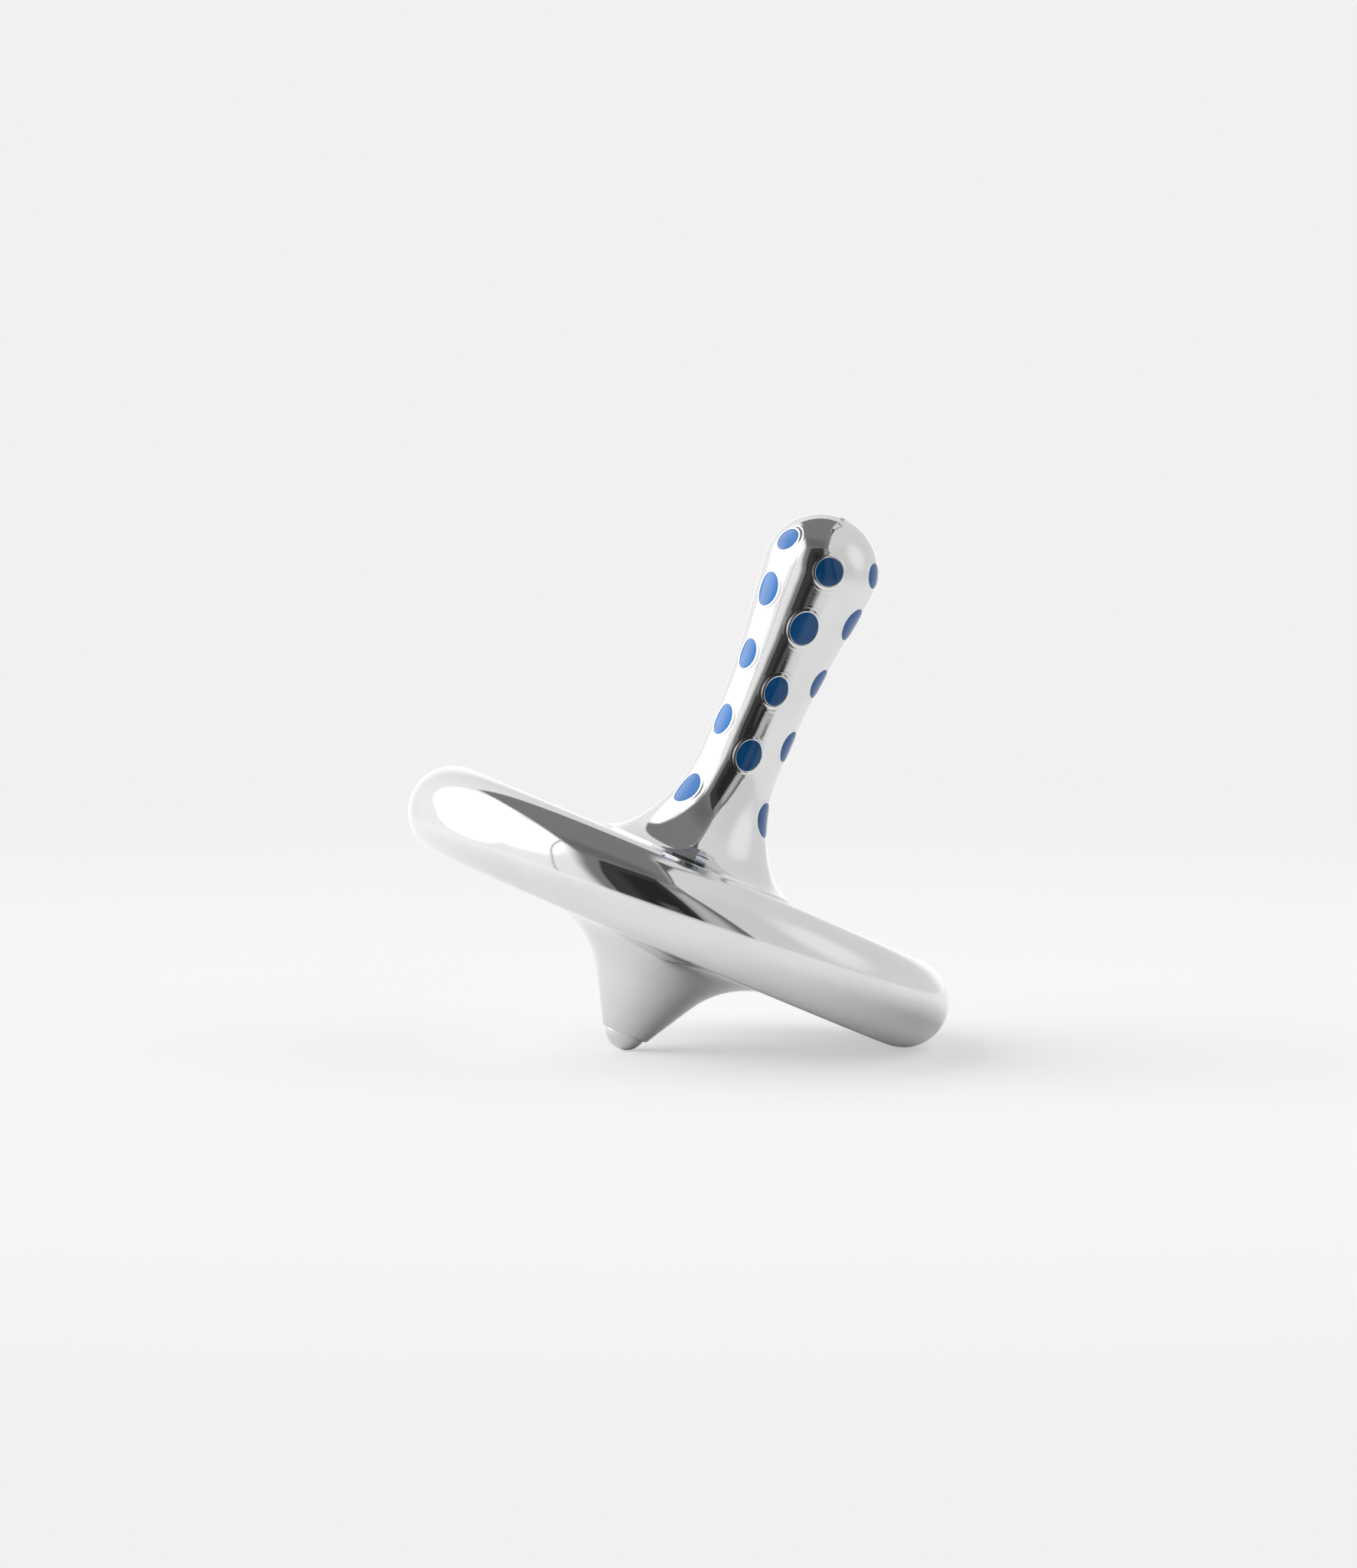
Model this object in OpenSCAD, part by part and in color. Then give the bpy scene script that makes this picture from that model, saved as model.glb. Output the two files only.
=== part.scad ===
// Metal spinning top with enamel dots, lying at rest on its pivot ball and its rim.
// Every piece is drawn upright about the Z axis, with the centre of the pivot ball at the origin.
// at_rest() then leans the whole top towards +X until the ball and the rim touch the ground at Z = 0.

/* [Wheel] */
// Diameter of the wheel over its rim
wheel_d = 50; // [46:0.5:56]
// Thickness of the wheel, and so the diameter of its full-round rim
wheel_t = 7.8; // [6.6:0.1:9]

/* [Stem] */
// Diameter of the ball-shaped head
head_d = 10; // [9.2:0.1:11.4]
// Height of the head's centre above the wheel
head_h = 27.5; // [25:0.5:31]
// Diameter of the straight neck
neck_d = 7.2; // [6.6:0.1:7.8]
// Height above the wheel where the straight neck starts
neck_h = 9.75; // [9:0.25:10.5]
// Length of the straight neck
neck_band = 2.5; // [1.5:0.25:4]
// Radius of the flare under the neck
flare_r = 13; // [12:0.5:15]
// Radius of the foot, where the flare runs out onto the wheel
foot_r = 5; // [4:0.25:6]
// Length of the straight taper between the long hollow over the neck and the head
taper_l = 6.4; // [4:0.1:8]

/* [Pivot cone] */
// Height of the cone from the wheel to the end of its nose
cone_h = 8.05; // [7.6:0.05:9.5]
// Angle between opposite flanks of the cone
cone_angle = 60; // [54:1:66]
// Radius of the hollow between the wheel and the cone's flank
cone_blend_r = 7.8; // [6.5:0.1:9]
// Diameter of the nose at its end, before the edge is rounded
nose_d = 4; // [3.95:0.05:4.6]
// Radius of the nose's rounded edge, which is rolled in round the ball
nose_edge_r = 0.4; // [0.2:0.05:0.4]

/* [Pivot ball] */
// Diameter of the ball
ball_d = 3.57; // [3.2:0.01:3.6]
// How far the nose reaches past the ball's middle
ball_grip = 0.45; // [0.3:0.05:0.6]
// Clearance all round the ball in its seat
ball_fit = 0.01; // [0.005:0.005:0.03]

/* [Tie stud] */
// Diameter of the stud that ties the stem, wheel and cone together
stud_d = 4; // [3:0.5:4.5]
// Length of the stud inside the stem
stud_up = 7; // [5:0.5:9]
// Length of the stud inside the cone
stud_down = 3.6; // [3:0.2:4]
// Clearance all round the stud in its holes
stud_fit = 0.05; // [0.02:0.01:0.1]
// Space left past each end of the stud
stud_end_gap = 0.5; // [0.2:0.1:0.8]
// Size of the bevel on each end of the stud
stud_bevel = 0.4; // [0.2:0.1:0.6]

/* [Enamel dots] */
// Number of full columns of dots, with a short column between each two
column_pairs = 3; // [2:1:3]
// Turn of the first short column away from the side the top leans to
column_turn = 25.2; // [0:0.1:59.9]
// Width of a standard dot across the stem
dot_w = 2.4; // [2:0.05:2.7]
// Length of a standard dot along the stem
dot_l = 3; // [2.4:0.05:3.4]
// Depth of the flat-floored cell under each dot
cell_depth = 0.5; // [0.4:0.05:0.7]
// Width of the raised lip round each cell
lip_w = 0.27; // [0.15:0.01:0.35]
// Height of the lip above the stem
lip_h = 0.09; // [0.05:0.01:0.15]
// Height of the enamel above the stem
enamel_h = 0.05; // [0.02:0.01:0.12]
// Clearance between the enamel and the wall of its cell
cell_fit = 0.01; // [0.005:0.005:0.02]

/* [Hidden] */
$fn = 256;
wheel_r = wheel_d / 2;
rim_r = wheel_t / 2;
rim_centre_r = wheel_r - rim_r;
head_r = head_d / 2;
neck_r = neck_d / 2;
ball_r = ball_d / 2;
stud_r = stud_d / 2;
stud_hole_r = stud_r + stud_fit;

// Heights above the ball's centre
nose_z = -ball_grip;
wheel_z = nose_z + cone_h;
rim_centre_z = wheel_z + rim_r;
stem_z = wheel_z + wheel_t;

// The ground touches the ball's circle and the rim's circle, which stand this far apart
contact_span = norm([rim_centre_r, rim_centre_z]);
lean = atan2(rim_centre_z, rim_centre_r) - asin((rim_r - ball_r) / contact_span);

// Stem outline as [radius, height above the wheel]: centres of its arcs, from the foot up
flare_centre = [neck_r + flare_r, neck_h];
foot_edge_r = flare_centre.x - sqrt(pow(flare_r - foot_r, 2) - pow(neck_h - foot_r, 2));
foot_centre = [foot_edge_r, foot_r];
neck_top = neck_h + neck_band;
neck_middle = neck_h + neck_band / 2;
head_centre = [0, head_h];

// The long hollow takes the radius that leaves the straight taper its length up to the head
taper_r = (pow(head_h - neck_top, 2) + pow(neck_r, 2) - pow(head_r, 2) - pow(taper_l, 2))
    / (head_d - neck_d);
taper_centre = [neck_r + taper_r, neck_top];

// Tilt of the taper's surface, which touches the long hollow's arc and the head's circle
head_to_taper = taper_centre - head_centre;
taper_tilt = atan2(head_to_taper.y, head_to_taper.x)
    + acos((taper_r + head_r) / norm(head_to_taper));
taper_normal = [cos(taper_tilt), sin(taper_tilt)];

// Points where one line of the outline passes into the next
foot_to_flare = foot_centre + foot_r * unit(foot_centre - flare_centre);
flare_to_neck = [neck_r, neck_h];
neck_to_taper = [neck_r, neck_top];
hollow_to_taper = taper_centre - taper_r * taper_normal;
taper_to_head = head_centre + head_r * taper_normal;

// Cone outline as [radius, height]: the hollow's arc touches the wheel and the flank
flank_tilt = cone_angle / 2;
flank_normal = [cos(flank_tilt), -sin(flank_tilt)];
nose_r = nose_d / 2;
flank_top_z = wheel_z - cone_blend_r * (1 - sin(flank_tilt));
flank_top_r = nose_r + (flank_top_z - nose_z) * tan(flank_tilt);
cone_centre = [flank_top_r + cone_blend_r * cos(flank_tilt), wheel_z - cone_blend_r];
flank_top = [flank_top_r, flank_top_z];

// Corner of the nose: its rounding touches the flank and the end face
nose_setback = nose_edge_r * tan((90 - flank_tilt) / 2);
nose_edge_centre = [nose_r - nose_setback, nose_z + nose_edge_r];
nose_on_flank = nose_edge_centre + nose_edge_r * flank_normal;

// Each arc of an outline laps over the line that it touches by this much, so that they cross cleanly
arc_lap = 0.0005;

// Dots of one column as [height, width, length]: shares of head_h, dot_w and dot_l
full_column_shares = [
    [0.212, 1.02, 1.00], [0.453, 0.86, 0.94], [0.672, 0.86, 0.90],
    [0.883, 1.02, 1.01], [1.051, 0.96, 0.73]
];
short_column_shares = [
    [0.379, 0.88, 0.93], [0.597, 0.80, 0.87], [0.811, 0.98, 0.98], [1.004, 0.98, 0.84]
];
column_step = 180 / column_pairs;
dots = [
    for (column = [0:2 * column_pairs - 1])
        for (place = column % 2 == 0 ? short_column_shares : full_column_shares)
            [column_turn + column * column_step, head_h * place[0], dot_w * place[1], dot_l * place[2]]
];

function dot_name(i) = str("enamel_dot_", i < 9 ? "0" : "", i + 1);
function unit(v) = v / norm(v);

// Direction of the stem's surface at a height above the wheel, as [radius, height] of its normal
function stem_normal(h) =
    h < foot_to_flare.y ? unit(foot_centre - [stem_r(h), h]) :
    h < neck_h ? unit(flare_centre - [stem_r(h), h]) :
    h < neck_top ? [1, 0] :
    h < hollow_to_taper.y ? unit(taper_centre - [stem_r(h), h]) :
    h < taper_to_head.y ? taper_normal :
    unit([stem_r(h), h] - head_centre);

// Radius of the stem's surface at a height above the wheel
function stem_r(h) =
    h < foot_to_flare.y ? arc_r(foot_centre, foot_r, h) :
    h < neck_h ? arc_r(flare_centre, flare_r, h) :
    h < neck_top ? neck_r :
    h < hollow_to_taper.y ? arc_r(taper_centre, taper_r, h) :
    h < taper_to_head.y ? taper_to_head.x + (taper_to_head.y - h) * tan(taper_tilt) :
    sqrt(pow(head_r, 2) - pow(h - head_h, 2));

// Radius at which a hollow arc of the stem stands at a height
function arc_r(centre, r, h) = centre.x - sqrt(pow(r, 2) - pow(h - centre.y, 2));

// Lays what is drawn upright over on the ball and the rim
module at_rest() {
    translate([0, 0, ball_r]) rotate([0, lean, 0]) children();
}

// Disc that cuts a hollow arc into an outline between two heights
module hollow_cut(centre, r, low, high) {
    intersection() {
        translate(centre) circle(r + arc_lap);
        translate([0, low]) square([centre.x, high - low]);
    }
}

// Half outline of the stem, standing proud of the real surface by grow
module stem_outline(grow) {
    difference() {
        polygon([
            [0, 0], [foot_edge_r, 0], foot_centre,
            flare_to_neck + [grow, 0], neck_to_taper + [grow, 0],
            hollow_to_taper + grow * taper_normal, taper_to_head + grow * taper_normal, head_centre
        ]);
        translate(foot_centre) circle(foot_r - grow + 2 * arc_lap);
        hollow_cut(flare_centre, flare_r - grow, foot_to_flare.y, neck_top);
        hollow_cut(taper_centre, taper_r - grow, neck_middle, taper_to_head.y);
    }
    intersection() {
        translate(head_centre) circle(head_r + grow + arc_lap);
        translate(head_centre - [0, head_d]) square([head_d, 2 * head_d]);
    }
}

module stem_solid(grow) {
    translate([0, 0, stem_z]) rotate_extrude() stem_outline(grow);
}

// Oval prism of one dot, square to the stem's surface, from depth below it to rise above it
module dot_prism(dot, margin, depth, rise) {
    normal = stem_normal(dot[1]);
    rotate([0, 0, dot[0]])
        translate([stem_r(dot[1]), 0, stem_z + dot[1]])
        rotate([0, atan2(normal.x, normal.y), 0])
        translate([0, 0, -depth])
        linear_extrude(depth + rise)
        scale([dot[3] / 2 + margin, dot[2] / 2 + margin])
        circle(1);
}

// Handle with its ball head, taper, neck and flared foot, and a lipped cell for each dot
module stem() {
    color("gainsboro") at_rest() difference() {
        union() {
            stem_solid(0);
            intersection() {
                stem_solid(lip_h);
                for (dot = dots) dot_prism(dot, lip_w, cell_depth, cell_depth);
            }
        }
        for (dot = dots) dot_prism(dot, 0, cell_depth, 2 * cell_depth);
        translate([0, 0, stem_z - stud_end_gap])
            cylinder(h = stud_up + 2 * stud_end_gap, r = stud_hole_r);
    }
}

// Glassy fill of one cell, with its floor flat and its face following the stem
module enamel_dot(dot) {
    color("midnightblue") at_rest() intersection() {
        stem_solid(enamel_h);
        dot_prism(dot, -cell_fit, cell_depth, cell_depth);
    }
}

// Solid flywheel with flat faces, a full-round rim and the bore for the stud
module wheel() {
    color("silver") at_rest() translate([0, 0, wheel_z]) rotate_extrude() {
        translate([stud_hole_r, 0]) square([rim_centre_r - stud_hole_r, wheel_t]);
        intersection() {
            translate([rim_centre_r, rim_r]) circle(rim_r);
            translate([rim_centre_r, 0]) square([rim_r, wheel_t]);
        }
    }
}

// Hollow-sided cone under the wheel, with the stud's hole and the ball's seat
module pivot_cone() {
    color("lightgray") at_rest() rotate_extrude() difference() {
        union() {
            difference() {
                polygon([
                    [0, nose_z], [nose_edge_centre.x, nose_z], nose_on_flank, flank_top,
                    cone_centre, [cone_centre.x, wheel_z], [0, wheel_z]
                ]);
                translate(cone_centre) circle(cone_blend_r + arc_lap);
            }
            translate(nose_edge_centre) circle(nose_edge_r + arc_lap);
        }
        intersection() {
            circle(ball_r + ball_fit);
            translate([0, -ball_d]) square([ball_d, 2 * ball_d]);
        }
        translate([0, wheel_z - stud_down - stud_end_gap])
            square([stud_hole_r, stud_down + 2 * stud_end_gap]);
    }
}

// Plain steel stud with bevelled ends
module tie_stud() {
    length = stud_down + wheel_t + stud_up;
    color("darkgray") at_rest() translate([0, 0, wheel_z - stud_down]) rotate_extrude() polygon([
        [0, 0], [stud_r - stud_bevel, 0], [stud_r, stud_bevel],
        [stud_r, length - stud_bevel], [stud_r - stud_bevel, length], [0, length]
    ]);
}

// Polished ball that the top spins on
module pivot_ball() {
    color("whitesmoke") at_rest() sphere(ball_r);
}

stem();
wheel();
pivot_cone();
tie_stud();
pivot_ball();
for (i = [0:len(dots) - 1]) {
    enamel_dot(dots[i]);
}
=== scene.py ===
"""Metal spinning top with enamel dots: its detailed pieces, their finishes and the studio round it.

Every piece is made upright about Z with the centre of the pivot ball at the origin, as on a lathe.
It is then leaned over onto the ball and the rim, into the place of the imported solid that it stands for.
All lengths are in metres.
"""

import logging
import math
from dataclasses import dataclass
from enum import Enum
from typing import ClassVar

import bpy
from mathutils import Euler, Matrix, Vector


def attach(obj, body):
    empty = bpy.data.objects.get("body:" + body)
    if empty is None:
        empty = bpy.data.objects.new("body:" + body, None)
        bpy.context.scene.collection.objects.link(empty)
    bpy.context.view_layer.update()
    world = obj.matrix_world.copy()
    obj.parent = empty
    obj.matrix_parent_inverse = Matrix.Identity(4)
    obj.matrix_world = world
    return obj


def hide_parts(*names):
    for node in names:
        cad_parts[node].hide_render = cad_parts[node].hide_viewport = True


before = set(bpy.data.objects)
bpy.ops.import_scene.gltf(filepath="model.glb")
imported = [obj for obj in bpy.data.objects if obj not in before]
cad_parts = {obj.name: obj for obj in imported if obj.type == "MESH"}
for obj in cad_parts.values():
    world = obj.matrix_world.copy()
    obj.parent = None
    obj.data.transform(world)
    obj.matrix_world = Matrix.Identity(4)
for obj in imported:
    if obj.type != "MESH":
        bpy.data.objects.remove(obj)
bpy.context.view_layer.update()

LOG = logging.getLogger("spinning_top")

MM = 0.001
FULL_TURN = 2 * math.pi
MERGE_DISTANCE = 0.0008 * MM

# Longest edge of the flat faces and straight bores
LONG_STEP = 1 * MM

BODY = "root"
CELL_FLOOR = "cell_floor"

Point = tuple[float, float]
Colour = tuple[float, float, float]


# Small helpers for modelling


class Mode(Enum):
    """The two modes that the modelling steps switch between."""

    OBJECT = "OBJECT"
    EDIT = "EDIT"


def set_mode(mode: Mode) -> None:
    """Puts the active object into a mode."""
    bpy.ops.object.mode_set(mode=mode.value)


def clear_selection() -> None:
    """Deselects every object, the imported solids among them."""
    for obj in bpy.context.selected_objects:
        obj.select_set(False)


def pick(obj: bpy.types.Object) -> None:
    """Makes obj the only selected object and the active one."""
    clear_selection()
    obj.select_set(True)
    bpy.context.view_layer.objects.active = obj


def apply_place(obj: bpy.types.Object) -> None:
    """Moves the object's place, turn and scale into its mesh."""
    pick(obj)
    bpy.ops.object.transform_apply(location=True, rotation=True, scale=True)


def apply_modifier(obj: bpy.types.Object, kind: str, **settings: object) -> None:
    """Adds a modifier to obj, with the settings, and applies it at once.

    Args:
        obj: the object that is changed.
        kind: the modifier's type.
        settings: values of the modifier's own settings.
    """
    pick(obj)
    modifier = obj.modifiers.new(kind.title(), kind)
    for name, value in settings.items():
        setattr(modifier, name, value)
    bpy.ops.object.modifier_apply(modifier=modifier.name)


def name_active(name: str) -> bpy.types.Object:
    """Names the active object and its mesh, and returns the object."""
    obj = bpy.context.view_layer.objects.active
    obj.name = name
    obj.data.name = name
    return obj


def join(objects: list[bpy.types.Object], name: str) -> bpy.types.Object:
    """Joins the objects into the first of them.

    Args:
        objects: the objects, of which the first stays.
        name: the name that the joined object gets.

    Returns:
        The joined object.
    """
    pick(objects[0])
    for obj in objects[1:]:
        obj.select_set(True)
    bpy.ops.object.join()
    return name_active(name)


def copy_of(obj: bpy.types.Object, name: str) -> bpy.types.Object:
    """Copies obj, with a mesh of its own, and returns the copy under its name."""
    pick(obj)
    bpy.ops.object.duplicate(linked=False)
    return name_active(name)


def remove(obj: bpy.types.Object) -> None:
    """Deletes a helper object and its mesh."""
    mesh = obj.data
    bpy.data.objects.remove(obj)
    bpy.data.meshes.remove(mesh)


def smooth(obj: bpy.types.Object, angle: float) -> None:
    """Shades obj smooth, and leaves edges sharper than the angle (in degrees) as edges."""
    pick(obj)
    bpy.ops.object.shade_smooth_by_angle(angle=math.radians(angle))


def face_outwards() -> None:
    """Turns all faces of the object that is being edited outwards, and leaves edit mode."""
    bpy.ops.mesh.select_all(action="SELECT")
    bpy.ops.mesh.normals_make_consistent(inside=False)
    set_mode(Mode.OBJECT)


class Outline:
    """Half section of a turned piece, drawn point after point on the XZ plane and turned about Z."""

    def __init__(self, name: str, start: Point) -> None:
        """Starts the chain with one point.

        Args:
            name: the name of the piece.
            start: radius and height of the first point.
        """
        clear_selection()
        bpy.ops.mesh.primitive_plane_add(size=MM, location=(start[0], 0, start[1]))
        self.obj = name_active(name)
        self.end = start
        apply_place(self.obj)
        set_mode(Mode.EDIT)
        bpy.ops.mesh.select_mode(type="VERT")
        bpy.ops.mesh.select_all(action="SELECT")
        bpy.ops.mesh.merge(type="CENTER")

    def line(self, end: Point, step: float) -> "Outline":
        """Draws a straight stretch to a point.

        Args:
            end: radius and height of the point.
            step: the longest edge of the stretch.

        Returns:
            The outline itself, so that calls can follow each other.
        """
        count = max(1, math.ceil(math.dist(self.end, end) / step))
        move = ((end[0] - self.end[0]) / count, 0, (end[1] - self.end[1]) / count)
        for _ in range(count):
            bpy.ops.mesh.extrude_region_move(TRANSFORM_OT_translate={"value": move})
        self.end = end
        return self

    def arc(self, centre: Point, end: Point, step: float) -> "Outline":
        """Draws an arc the short way round a centre to a point.

        Args:
            centre: radius and height of the arc's centre.
            end: radius and height of the arc's last point.
            step: the longest edge of the arc.

        Returns:
            The outline itself, so that calls can follow each other.
        """
        first = math.atan2(self.end[1] - centre[1], self.end[0] - centre[0])
        last = math.atan2(end[1] - centre[1], end[0] - centre[0])
        sweep = math.remainder(last - first, FULL_TURN)
        count = max(2, math.ceil(abs(sweep) * math.dist(centre, end) / step))
        bpy.ops.mesh.spin(steps=count, angle=sweep, center=(centre[0], 0, centre[1]), axis=(0, 1, 0))
        self.end = end
        return self

    def turn(self, steps: int, sweep: float = FULL_TURN) -> bpy.types.Object:
        """Turns the outline about Z and closes its poles.

        Args:
            steps: the number of faces round the sweep.
            sweep: how far the outline is turned, in radians.

        Returns:
            The turned piece.
        """
        set_mode(Mode.OBJECT)
        apply_modifier(self.obj, "SCREW", axis="Z", angle=sweep, steps=steps, render_steps=steps,
                       use_merge_vertices=True, merge_threshold=MERGE_DISTANCE)
        set_mode(Mode.EDIT)
        bpy.ops.mesh.select_all(action="SELECT")
        bpy.ops.mesh.remove_doubles(threshold=MERGE_DISTANCE)
        face_outwards()
        return self.obj


# Sizes of the top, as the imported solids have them


@dataclass(frozen=True)
class Lean:
    """How the upright top is laid over onto its ball and its rim."""

    rim_centre_r: float
    rim_centre_z: float
    rim_r: float
    ball_r: float

    @property
    def angle(self) -> float:
        """Turn about Y, in radians, that brings the ball and the rim to the same height."""
        span = math.hypot(self.rim_centre_r, self.rim_centre_z)
        rise = math.asin((self.rim_r - self.ball_r) / span)
        return math.atan2(self.rim_centre_z, self.rim_centre_r) - rise

    @property
    def matrix(self) -> Matrix:
        """The move from the upright place to the place at rest."""
        return Matrix.Translation((0, 0, self.ball_r)) @ Matrix.Rotation(self.angle, 4, "Y")

    def lay(self, obj: bpy.types.Object) -> None:
        """Lays an upright object over into its place at rest."""
        obj.matrix_world = self.matrix @ obj.matrix_world
        apply_place(obj)


@dataclass(frozen=True)
class Dot:
    """One enamel dot: where it sits on the stem, and its size."""

    number: int
    column_angle: float
    height: float
    width: float
    length: float

    @property
    def node(self) -> str:
        """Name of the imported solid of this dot."""
        return f"enamel_dot_{self.number:02d}"


# Node trees


class Nodes:
    """A node tree with short calls that add nodes and link them."""

    def __init__(self, tree: bpy.types.NodeTree) -> None:
        """Takes over a tree and empties it."""
        self.tree = tree
        tree.nodes.clear()

    def add(self, kind: str, inputs: dict | None = None, **settings: object) -> bpy.types.Node:
        """Adds a node.

        Args:
            kind: the node's type.
            inputs: values or sockets for its inputs, by name or number.
            settings: values of the node's own settings.

        Returns:
            The new node.
        """
        node = self.tree.nodes.new(kind)
        for name, value in settings.items():
            setattr(node, name, value)
        for key, value in (inputs or {}).items():
            if isinstance(value, bpy.types.NodeSocket):
                self.tree.links.new(value, node.inputs[key])
            else:
                node.inputs[key].default_value = value
        return node

    def math(self, operation: str, *values: object) -> bpy.types.NodeSocket:
        """Adds a Math node with these values or sockets, and returns its result."""
        return self.add("ShaderNodeMath", dict(enumerate(values)), operation=operation).outputs[0]

    def vector(self, operation: str, *values: object) -> bpy.types.Node:
        """Adds a Vector Math node with these values or sockets."""
        return self.add("ShaderNodeVectorMath", dict(enumerate(values)), operation=operation)

    def ease(self, value: object, low: float, high: float, start: float = 0.0, end: float = 1.0
             ) -> bpy.types.NodeSocket:
        """Eases from start to end while the value goes from low to high.

        Args:
            value: the socket that is read.
            low: the value at which the result leaves start.
            high: the value at which the result reaches end.
            start: the first result.
            end: the last result.

        Returns:
            The eased result.
        """
        inputs = {0: value, 1: low, 2: high, 3: start, 4: end}
        return self.add("ShaderNodeMapRange", inputs, interpolation_type="SMOOTHSTEP").outputs[0]

    def noise(self, vector: object, scale: float, detail: float) -> bpy.types.NodeSocket:
        """Adds a noise of this scale and detail over a vector, and returns its value."""
        inputs = {"Vector": vector, "Scale": scale, "Detail": detail}
        return self.add("ShaderNodeTexNoise", inputs).outputs[0]

    def blend(self, share: object, first: object, second: object) -> bpy.types.NodeSocket:
        """Mixes two numbers by a share."""
        return self.add("ShaderNodeMix", {0: share, 2: first, 3: second}, data_type="FLOAT").outputs[0]

    def blend_colour(self, share: object, first: object, second: object) -> bpy.types.NodeSocket:
        """Mixes two colours by a share."""
        return self.add("ShaderNodeMix", {0: share, 6: first, 7: second}, data_type="RGBA").outputs[2]


def new_group(name: str, inputs: dict[str, str], outputs: dict[str, str]) -> tuple[Nodes, bpy.types.Node]:
    """Starts a shader node group.

    Args:
        name: the group's name.
        inputs: socket type by name of each input.
        outputs: socket type by name of each output.

    Returns:
        The group's tree and its input node.
    """
    tree = bpy.data.node_groups.new(name, "ShaderNodeTree")
    for label, kind in inputs.items():
        tree.interface.new_socket(label, in_out="INPUT", socket_type=kind)
    for label, kind in outputs.items():
        tree.interface.new_socket(label, in_out="OUTPUT", socket_type=kind)
    nodes = Nodes(tree)
    return nodes, nodes.add("NodeGroupInput")


def new_material(name: str) -> tuple[bpy.types.Material, Nodes]:
    """Starts a material with an empty node tree."""
    made = bpy.data.materials.new(name)
    made.use_nodes = True
    return made, Nodes(made.node_tree)


# Finishes


@dataclass(frozen=True)
class Polish:
    """Node group with the fine marks of turning and hand polishing, used by every metal.

    Each mark has the scale and the detail of its noise.
    """

    name: str = "polish_marks"
    rings: Point = (3200.0, 3.0)
    waves: Point = (420.0, 1.0)
    rubs: Point = (150.0, 4.0)

    def group(self) -> bpy.types.NodeTree:
        """Builds the group once.

        Returns:
            The group's tree, with the outputs Shine and Height.
        """
        if self.name in bpy.data.node_groups:
            return bpy.data.node_groups[self.name]
        number = "NodeSocketFloat"
        inputs = {"Vector": "NodeSocketVector", "Ripple": number, "Wave": number}
        nodes, source = new_group(self.name, inputs, {"Shine": number, "Height": number})
        place = source.outputs["Vector"]
        parts = nodes.add("ShaderNodeSeparateXYZ", {0: place}).outputs
        flat = nodes.add("ShaderNodeCombineXYZ", {0: parts[0], 1: parts[1]}).outputs[0]
        radius = nodes.vector("LENGTH", flat).outputs["Value"]
        section = nodes.add("ShaderNodeCombineXYZ", {0: radius, 2: parts[2]}).outputs[0]
        ripple = nodes.noise(section, *self.rings)
        wave = nodes.noise(place, *self.waves)
        rub = nodes.noise(place, *self.rubs)
        height = nodes.math("ADD", nodes.math("MULTIPLY", ripple, source.outputs["Ripple"]),
                            nodes.math("MULTIPLY", wave, source.outputs["Wave"]))
        nodes.add("NodeGroupOutput", {"Shine": rub, "Height": height})
        return nodes.tree


@dataclass(frozen=True)
class Metal:
    """A turned and polished metal, whose rings grow from their calm share over a span of heights."""

    name: str
    colour: Colour
    dull_colour: Colour
    roughness: Point
    ripple: float
    wave: float
    lean: Lean
    calm: Point = (-1.0, -0.9)
    calm_share: float = 0.08
    rub_span: Point = (0.35, 0.7)

    def material(self) -> bpy.types.Material:
        """Builds the material on the coordinates of the upright top.

        Returns:
            A mirror metal with faint turning rings, polishing waves and rubbed patches.
        """
        made, nodes = new_material(self.name)
        upright = Matrix.Rotation(-self.lean.angle, 4, "Y")
        place = nodes.add("ShaderNodeMapping", {
            "Vector": nodes.add("ShaderNodeTexCoord").outputs["Object"],
            "Location": upright @ Vector((0, 0, -self.lean.ball_r)),
            "Rotation": Euler((0, -self.lean.angle, 0)),
        }).outputs[0]
        above_ball = nodes.add("ShaderNodeSeparateXYZ", {0: place}).outputs[2]
        ripple = nodes.ease(above_ball, *self.calm, self.calm_share * self.ripple, self.ripple)
        marks = nodes.add("ShaderNodeGroup", node_tree=Polish().group())
        nodes.tree.links.new(place, marks.inputs["Vector"])
        nodes.tree.links.new(ripple, marks.inputs["Ripple"])
        marks.inputs["Wave"].default_value = self.wave
        rub = nodes.ease(marks.outputs["Shine"], *self.rub_span)
        bump = nodes.add("ShaderNodeBump", {"Height": marks.outputs["Height"], "Distance": 1.0})
        shader = nodes.add("ShaderNodeBsdfPrincipled", {
            "Base Color": nodes.blend_colour(rub, (*self.colour, 1), (*self.dull_colour, 1)),
            "Metallic": 1.0,
            "Roughness": nodes.blend(rub, *self.roughness),
            "Normal": bump.outputs[0],
        })
        nodes.add("ShaderNodeOutputMaterial", {"Surface": shader.outputs[0]})
        return made


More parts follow.
